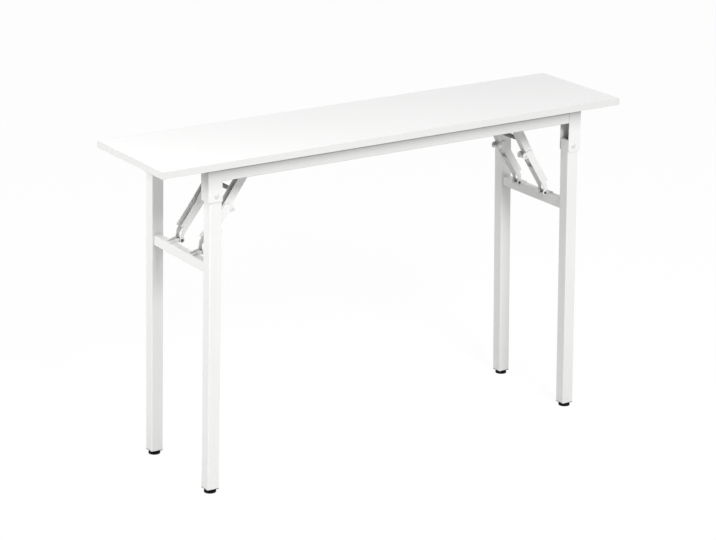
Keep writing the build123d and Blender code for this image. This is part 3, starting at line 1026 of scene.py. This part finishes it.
@dataclass
class SubAssembly:
    """A named group of the record's solids, with the pieces that this script adds to it."""

    finishes: Finishes
    record: dict
    nodes: dict[str, bpy.types.Object]
    added: list[bpy.types.Object] = field(default_factory=list)

    @property
    def title(self) -> str:
        """Plain name for the log."""
        raise NotImplementedError

    def node_names(self) -> list[str]:
        """Names of the solids that belong to the group."""
        raise NotImplementedError

    def welds(self) -> list[WeldBead]:
        """Weld beads that the group carries."""
        return []

    def dress(self) -> None:
        """Give each solid of the group the finish that its slot in the record names."""
        slots = {part["node"]: part["material_slot"] for part in self.record["subparts"]}
        for name in self.node_names():
            finish = self.finishes.of_slot(slots[name])
            solid = self.nodes[name]
            solid.data.materials.clear()
            solid.data.materials.append(finish.material())
            LOG.info("%s: %s wears %s", self.title, name, finish.name)

    def build(self) -> None:
        """Dress the solids, then lay the welds."""
        self.dress()
        for bead in self.welds():
            self.added.append(bead.build(self.finishes.powder_coat))
        LOG.info("%s: %d solids, %d added", self.title, len(self.node_names()), len(self.added))


@dataclass
class TableTop(SubAssembly):
    """The laminated board in its edge bands."""

    @property
    def title(self) -> str:
        """Plain name for the log."""
        return "table top"

    def node_names(self) -> list[str]:
        """Names of the solids that belong to the group."""
        bands = [f"edge_band_{place.word}" for place in (*Row, *End)]
        return ["top_board", *bands]


@dataclass
class UnderFrame(SubAssembly):
    """Rails, cross tubes, tabs, brackets and hangers under the board."""

    board_clearance: float = 1.5 * MM
    lug_bead: float = 1.8 * MM
    bracket_bead: float = 1.6 * MM
    bracket_margin: float = 3 * MM

    @property
    def title(self) -> str:
        """Plain name for the log."""
        return "under frame"

    def node_names(self) -> list[str]:
        """Names of the solids that belong to the group.

        Returns:
            The names.
        """
        names = ["board_tabs", "board_screws", *(f"rail_{row.word}" for row in Row)]
        for end in End:
            names += [f"{kind}_{end.word}" for kind in ("cross_tube", "pivot_rivets", "hanger_pins")]
            for row in Row:
                names += [f"{kind}_{row.word}_{end.word}" for kind in ("bracket", "hanger_lug")]
        return names

    def welds(self) -> list[WeldBead]:
        """Beads at the ends of the cross tubes, on the hanger lugs and down the brackets.

        Returns:
            The beads of both ends.
        """
        beads: list[WeldBead] = []
        for plan in (LEFT_PLAN, RIGHT_PLAN):
            for row in Row:
                beads.append(self.cross_tube_weld(plan, row))
                beads += self.lug_welds(plan, row)
                beads.append(self.bracket_weld(plan, row))
        return beads

    def cross_tube_weld(self, plan: EndPlan, row: Row) -> WeldBead:
        """Bead under and beside the end of a cross tube, where it meets the rail.

        Args:
            plan: The end of the table.
            row: The rail.

        Returns:
            The bead.
        """
        outboard = plan.hanger_x + plan.end.side * TABLE.cross_tube_lead
        inboard = outboard - plan.end.side * TABLE.cross_tube_width
        across = row.side * TABLE.rail_inner
        high = TABLE.underside - self.board_clearance
        low = TABLE.underside - TABLE.cross_tube_height
        path = [
            Vector((outboard, across, high)),
            Vector((outboard, across, low)),
            Vector((inboard, across, low)),
            Vector((inboard, across, high)),
        ]
        return WeldBead(f"weld_cross_tube_{row.word}_{plan.end.word}", path, "frame")

    def lug_welds(self, plan: EndPlan, row: Row) -> list[WeldBead]:
        """Beads along both faces of a hanger lug, under the cross tube.

        Args:
            plan: The end of the table.
            row: The row of the lug.

        Returns:
            The bead of each face.
        """
        beads: list[WeldBead] = []
        high = TABLE.underside - TABLE.cross_tube_height
        for face in (-1, 1):
            across = row.side * TABLE.brace_row + face * TABLE.lug_half_width
            path = [
                Vector((plan.hanger_x + way * TABLE.lug_half_length, across, high)) for way in (-1, 1)
            ]
            name = f"weld_lug_{row.word}_{plan.end.word}_{'inner' if face == -row.side else 'outer'}"
            beads.append(WeldBead(name, path, "frame", leg=self.lug_bead))
        return beads

    def bracket_weld(self, plan: EndPlan, row: Row) -> WeldBead:
        """Bead down the inboard edge of a bracket's outer plate, where it lies on the rail.

        Args:
            plan: The end of the table.
            row: The rail.

        Returns:
            The bead.
        """
        edge = plan.end.side * (TABLE.leg_column - TABLE.leg_size / 2)
        across = row.side * TABLE.rail_face
        path = [
            Vector((edge, across, TABLE.underside - self.bracket_margin)),
            Vector((edge, across, TABLE.underside - TABLE.rail_height + self.bracket_margin)),
        ]
        name = f"weld_bracket_{row.word}_{plan.end.word}"
        return WeldBead(name, path, "frame", leg=self.bracket_bead)


@dataclass
class LegSet(SubAssembly):
    """Two legs with their crossbar, clevises, caps and glides."""

    plan: EndPlan = LEFT_PLAN
    clevis_bead: float = 1.8 * MM
    clevis_margin: float = 2 * MM

    @property
    def title(self) -> str:
        """Plain name for the log."""
        return f"{self.plan.end.word} leg set"

    def node_names(self) -> list[str]:
        """Names of the solids that belong to the group.

        Returns:
            The names.
        """
        word = self.plan.end.word
        names = [f"{kind}_{word}" for kind in ("crossbar", "leg_top_caps", "foot_plugs", "clevis_pins")]
        for row in Row:
            names += [f"{kind}_{row.word}_{word}" for kind in ("leg", "clevis", "glide")]
        return names

    def welds(self) -> list[WeldBead]:
        """Beads round both ends of the crossbar and along the feet of the clevises.

        Returns:
            The beads of both rows.
        """
        beads: list[WeldBead] = []
        body = f"leg_set_{self.plan.end.word}"
        half_width = TABLE.crossbar_width / 2
        half_height = TABLE.crossbar_height / 2
        for row in Row:
            across = row.side * (TABLE.leg_row - TABLE.leg_size / 2)
            corners = [(-1, -1), (1, -1), (1, 1), (-1, 1)]
            path = [
                self.plan.on_leg_set(
                    way * half_width, across, -self.plan.crossbar_drop + rise * half_height
                )
                for way, rise in corners
            ]
            name = f"weld_crossbar_{row.word}_{self.plan.end.word}"
            beads.append(WeldBead(name, path, body, closed=True))
            for face in (-1, 1):
                foot = row.side * TABLE.brace_row + face * TABLE.clevis_half_width
                path = [
                    self.plan.on_leg_set(
                        way * (half_width - self.clevis_margin),
                        foot,
                        half_height - self.plan.crossbar_drop,
                    )
                    for way in (-1, 1)
                ]
                side = "inner" if face == -row.side else "outer"
                name = f"weld_clevis_{row.word}_{self.plan.end.word}_{side}"
                beads.append(WeldBead(name, path, body, leg=self.clevis_bead))
        return beads


@dataclass
class Braces(SubAssembly):
    """The two jointed braces of one end with their release rod."""

    end: End = End.LEFT

    @property
    def title(self) -> str:
        """Plain name for the log."""
        return f"{self.end.word} braces"

    def node_names(self) -> list[str]:
        """Names of the solids that belong to the group.

        Returns:
            The names.
        """
        kinds = ("knuckle_rivets", "knuckle_caps", "release_rod", "release_grip")
        names = [f"{kind}_{self.end.word}" for kind in kinds]
        for row in Row:
            names += [f"{kind}_{row.word}_{self.end.word}" for kind in ("lower_link", "upper_link")]
        return names


@dataclass
class BarTable:
    """The whole table as its sub-assemblies."""

    record: dict
    nodes: dict[str, bpy.types.Object]
    finishes: Finishes = field(default_factory=Finishes)

    def groups(self) -> list[SubAssembly]:
        """Every sub-assembly, in the order in which it is built.

        Returns:
            The sub-assemblies.
        """
        shared = (self.finishes, self.record, self.nodes)
        return [
            TableTop(*shared),
            UnderFrame(*shared),
            LegSet(*shared, plan=LEFT_PLAN),
            LegSet(*shared, plan=RIGHT_PLAN),
            Braces(*shared, end=End.LEFT),
            Braces(*shared, end=End.RIGHT),
        ]

    def build(self) -> None:
        """Build every sub-assembly and check that no solid is left out."""
        groups = self.groups()
        for group in groups:
            group.build()
        named = {name for group in groups for name in group.node_names()}
        left_out = {part["node"] for part in self.record["subparts"]} - named
        if left_out:
            raise ValueError(f"solids in no sub-assembly: {sorted(left_out)}")


# Studio and camera


@dataclass
class Studio:
    """Pale floor, white surround and soft lamps."""

    floor_size: float = 60.0
    floor_color: Color = (0.68, 0.68, 0.68)
    floor_glow_share: float = 0.9
    floor_glow: float = 1.05
    surround: float = 0.4
    key_power: float = 248.0
    key_size: float = 1.8
    key_place: Place = (-0.25, -4.8, 4.35)
    fill_power: float = 43.0
    fill_size: float = 1.2
    fill_place: Place = (-3.0, 0.1, 2.0)
    target: Place = (0.0, 0.0, 0.6)

    def seen_white(self, graph: Graph) -> bpy.types.NodeSocket:
        """1 for rays that show the surround to the camera, in gloss or through glass.

        Args:
            graph: The graph that gets the Light Path node.

        Returns:
            The mask.
        """
        rays = graph.node("ShaderNodeLightPath").outputs
        seen = graph.math("ADD", rays["Is Camera Ray"], rays["Is Glossy Ray"])
        return graph.math("ADD", seen, rays["Is Transmission Ray"], clamp=True)

    def lay_floor(self) -> None:
        """Lay a floor that reads as white, keeps the table's shadow and is clear from below."""
        half = self.floor_size / 2
        mesh = bpy.data.meshes.new("floor")
        corners = [(-half, -half, 0), (half, -half, 0), (half, half, 0), (-half, half, 0)]
        mesh.from_pydata(corners, [], [(0, 1, 2, 3)])
        floor = bpy.data.objects.new("floor", mesh)
        bpy.context.scene.collection.objects.link(floor)
        material = bpy.data.materials.new("studio_floor")
        material.use_nodes = True
        graph = Graph(material.node_tree)
        mat = graph.node("ShaderNodeBsdfDiffuse", {"Color": self.floor_color})
        glow = graph.node("ShaderNodeEmission", {"Color": WHITE, "Strength": self.floor_glow})
        share = graph.math("MULTIPLY", self.seen_white(graph), self.floor_glow_share)
        above = graph.node("ShaderNodeMixShader", {0: share, 1: mat.outputs[0], 2: glow.outputs[0]})
        clear = graph.node("ShaderNodeBsdfTransparent")
        under = graph.node("ShaderNodeNewGeometry").outputs["Backfacing"]
        both = graph.node("ShaderNodeMixShader", {0: under, 1: above.outputs[0], 2: clear.outputs[0]})
        output = graph.node("ShaderNodeOutputMaterial")
        graph.feed(output.inputs["Surface"], both.outputs[0])
        mesh.materials.append(material)

    def surround_white(self) -> None:
        """Make the surround white to the eye and a plain level of light to the table."""
        world = bpy.data.worlds.new("studio")
        bpy.context.scene.world = world
        world.use_nodes = True
        graph = Graph(world.node_tree)
        strength = graph.span(self.seen_white(graph), FULL, (self.surround, 1.0))
        background = graph.node("ShaderNodeBackground", {"Color": WHITE, "Strength": strength})
        output = graph.node("ShaderNodeOutputWorld")
        graph.feed(output.inputs["Surface"], background.outputs[0])

    def hang_lamp(self, name: str, place: Place, power: float, size: float) -> None:
        """Hang a square soft lamp that faces the table.

        Args:
            name: The lamp's name.
            place: Where it hangs.
            power: Its power in watts.
            size: The side of its square.
        """
        data = bpy.data.lights.new(name, "AREA")
        data.energy = power
        data.size = size
        lamp = bpy.data.objects.new(name, data)
        bpy.context.scene.collection.objects.link(lamp)
        lamp.location = place
        way = Vector(self.target) - Vector(place)
        lamp.rotation_euler = way.to_track_quat("-Z", "Y").to_euler()
        LOG.info("lamp %s at %s", name, place)

    def build(self) -> None:
        """Set up floor, surround and lamps."""
        self.lay_floor()
        self.surround_white()
        self.hang_lamp("key", self.key_place, self.key_power, self.key_size)
        self.hang_lamp("fill", self.fill_place, self.fill_power, self.fill_size)
        bpy.context.scene.view_settings.view_transform = "Standard"


@dataclass
class PhotoView:
    """The photograph's view of the table."""

    focal_px: float = 2335.0
    image_width_px: float = 716.0
    sensor: float = 36.0
    azimuth: float = -33.182
    elevation: float = 18.37
    roll: float = 0.521
    distance: float = 7.0734
    far_limit: float = 60.0
    target: Place = (-0.03119, 0.0, 0.52167)

    def build(self) -> None:
        """Create the camera and make it the scene's own."""
        azimuth, elevation, roll = map(math.radians, (self.azimuth, self.elevation, self.roll))
        back = Vector(
            (
                math.sin(azimuth) * math.cos(elevation),
                -math.cos(azimuth) * math.cos(elevation),
                math.sin(elevation),
            )
        )
        level = Vector((0.0, 0.0, 1.0)).cross(back).normalized()
        upright = back.cross(level)
        right = level * math.cos(roll) + upright * math.sin(roll)
        up = upright * math.cos(roll) - level * math.sin(roll)
        place = Matrix((right, up, back)).transposed().to_4x4()
        place.translation = Vector(self.target) + back * self.distance
        data = bpy.data.cameras.new("photo_view")
        data.sensor_fit = "HORIZONTAL"
        data.sensor_width = self.sensor
        data.lens = self.focal_px / self.image_width_px * self.sensor
        data.clip_end = self.far_limit
        camera = bpy.data.objects.new("photo_view", data)
        bpy.context.scene.collection.objects.link(camera)
        camera.matrix_world = place
        bpy.context.scene.camera = camera
        LOG.info("camera at %s", tuple(round(value, 3) for value in place.translation))


def main() -> None:
    """Dress the table, light it and aim the camera."""
    logging.basicConfig(level=logging.INFO, format="%(name)s: %(message)s")
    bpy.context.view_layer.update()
    BarTable(frame["record"], frame["nodes"]).build()
    Studio().build()
    PhotoView().build()


if __name__ == "__main__":
    main()
